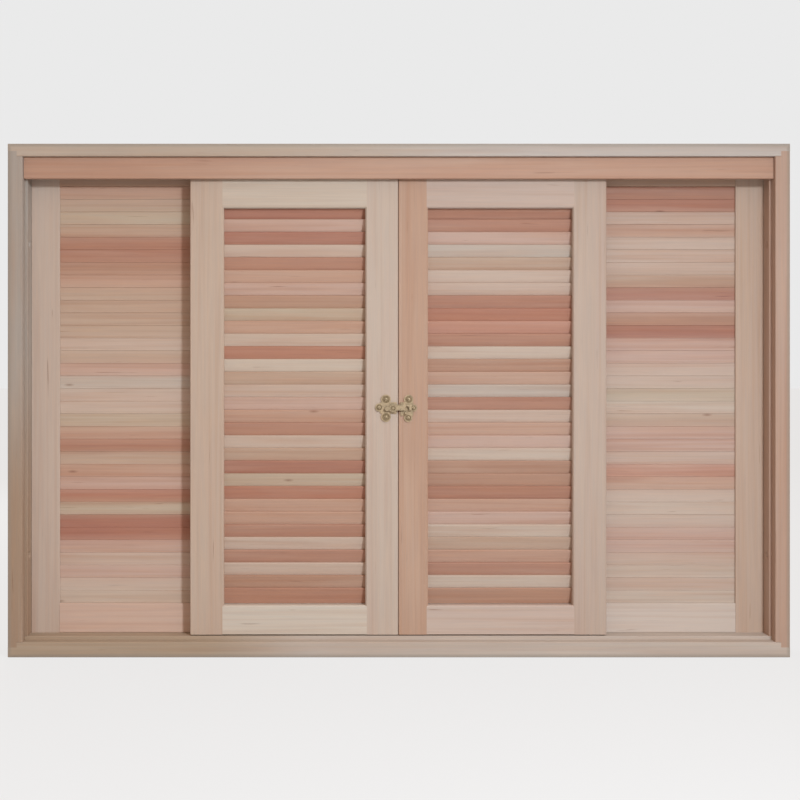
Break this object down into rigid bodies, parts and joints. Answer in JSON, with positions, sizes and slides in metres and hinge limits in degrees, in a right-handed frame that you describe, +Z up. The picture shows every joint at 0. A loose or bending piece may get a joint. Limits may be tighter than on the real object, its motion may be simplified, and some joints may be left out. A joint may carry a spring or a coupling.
{
  "type": "sliding louvred window",
  "caption": "Timber window in its frame: louvred leaves slide apart on a hidden top track in front of fixed leaves of closed boards, with a brass hook latch where they meet.",
  "frame": {"origin": "middle of the frame's depth and width, on the underside of the sill", "axes": "+X to the right as seen from the room, +Y from the room to the outdoors, +Z up"},
  "size_m": [1.5, 0.1, 0.985],
  "materials": {
    "timber_head": "planed, unfinished",
    "timber_sill": "planed, unfinished",
    "timber_jamb": "planed, unfinished",
    "timber_pelmet": "planed, unfinished",
    "timber_fixed_leaf": "planed, unfinished",
    "timber_boards": "planed, unfinished",
    "timber_sliding_leaf": "planed, unfinished",
    "timber_slats": "planed, unfinished",
    "brass": "cast, polished",
    "steel": "zinc plated",
    "aluminium": "mill finish",
    "nylon": "moulded",
    "buffer": "moulded"
  },
  "bodies": {
    "frame": {"head": "timber_head", "sill": "timber_sill", "left_jamb": "timber_head", "right_jamb": "timber_jamb", "pelmet": "timber_pelmet", "head_bead": "timber_sill", "sill_bead": "timber_sill", "left_bead": "timber_sill", "right_bead": "timber_sill", "corner_screws": "steel", "pelmet_screws": "steel", "top_track": "aluminium", "track_screws": "steel", "left_track_stop": "buffer", "right_track_stop": "buffer", "left_guide": "nylon", "right_guide": "nylon", "guide_screws": "steel", "left_fixed_outer_stile": "timber_fixed_leaf", "left_fixed_inner_stile": "timber_fixed_leaf", "left_fixed_top_rail": "timber_fixed_leaf", "left_fixed_bottom_rail": "timber_fixed_leaf", "left_fixed_boards": "timber_boards", "left_fixed_screws": "steel", "right_fixed_outer_stile": "timber_fixed_leaf", "right_fixed_inner_stile": "timber_fixed_leaf", "right_fixed_top_rail": "timber_fixed_leaf", "right_fixed_bottom_rail": "timber_fixed_leaf", "right_fixed_boards": "timber_boards", "right_fixed_screws": "steel"},
    "left_leaf": {"left_outer_stile": "timber_sliding_leaf", "left_meeting_stile": "timber_sliding_leaf", "left_meeting_strip": "timber_sliding_leaf", "left_top_rail": "timber_sliding_leaf", "left_bottom_rail": "timber_sliding_leaf", "left_slats": "timber_slats", "left_outer_hanger": "steel", "left_inner_hanger": "steel", "left_axles": "steel", "left_hanger_screws": "steel", "latch_plate": "brass", "latch_pivot": "brass", "latch_screws": "brass"},
    "right_leaf": {"right_outer_stile": "timber_sliding_leaf", "right_meeting_stile": "timber_sliding_leaf", "right_meeting_strip": "timber_sliding_leaf", "right_top_rail": "timber_sliding_leaf", "right_bottom_rail": "timber_sliding_leaf", "right_slats": "timber_slats", "right_outer_hanger": "steel", "right_inner_hanger": "steel", "right_axles": "steel", "right_hanger_screws": "steel", "keeper_plate": "brass", "keeper_stud": "brass", "keeper_screws": "brass"},
    "latch": {"latch_lever": "brass"},
    "left_outer_roller": {"left_outer_wheels": "nylon"},
    "left_inner_roller": {"left_inner_wheels": "nylon"},
    "right_outer_roller": {"right_outer_wheels": "nylon"},
    "right_inner_roller": {"right_inner_wheels": "nylon"}
  },
  "joints": [
    {"name": "left_leaf_slide", "type": "slide", "parent": "frame", "child": "left_leaf", "axis": [-1, 0, 0], "range_m": [0, 0.3]},
    {"name": "right_leaf_slide", "type": "slide", "parent": "frame", "child": "right_leaf", "axis": [1, 0, 0], "range_m": [0, 0.3]},
    {"name": "latch_turn", "type": "hinge", "parent": "left_leaf", "child": "latch", "pos_m": [-0.01, -0.0299, 0.477], "axis": [0, -1, 0], "range_deg": [-20.5, 75]},
    {"name": "left_outer_roll", "type": "hinge", "parent": "left_leaf", "child": "left_outer_roller", "pos_m": [-0.373, -0.009, 0.9431], "axis": [0, 1, 0], "continuous": true},
    {"name": "left_inner_roll", "type": "hinge", "parent": "left_leaf", "child": "left_inner_roller", "pos_m": [-0.0305, -0.009, 0.9431], "axis": [0, 1, 0], "continuous": true},
    {"name": "right_outer_roll", "type": "hinge", "parent": "right_leaf", "child": "right_outer_roller", "pos_m": [0.373, -0.009, 0.9431], "axis": [0, 1, 0], "continuous": true},
    {"name": "right_inner_roll", "type": "hinge", "parent": "right_leaf", "child": "right_inner_roller", "pos_m": [0.0305, -0.009, 0.9431], "axis": [0, 1, 0], "continuous": true}
  ],
  "couplings": [
    {"joint": "left_outer_roll", "follows": "left_leaf_slide", "rad_per_m": -142.86},
    {"joint": "left_inner_roll", "follows": "left_leaf_slide", "rad_per_m": -142.86},
    {"joint": "right_outer_roll", "follows": "right_leaf_slide", "rad_per_m": 142.86},
    {"joint": "right_inner_roll", "follows": "right_leaf_slide", "rad_per_m": 142.86}
  ]
}
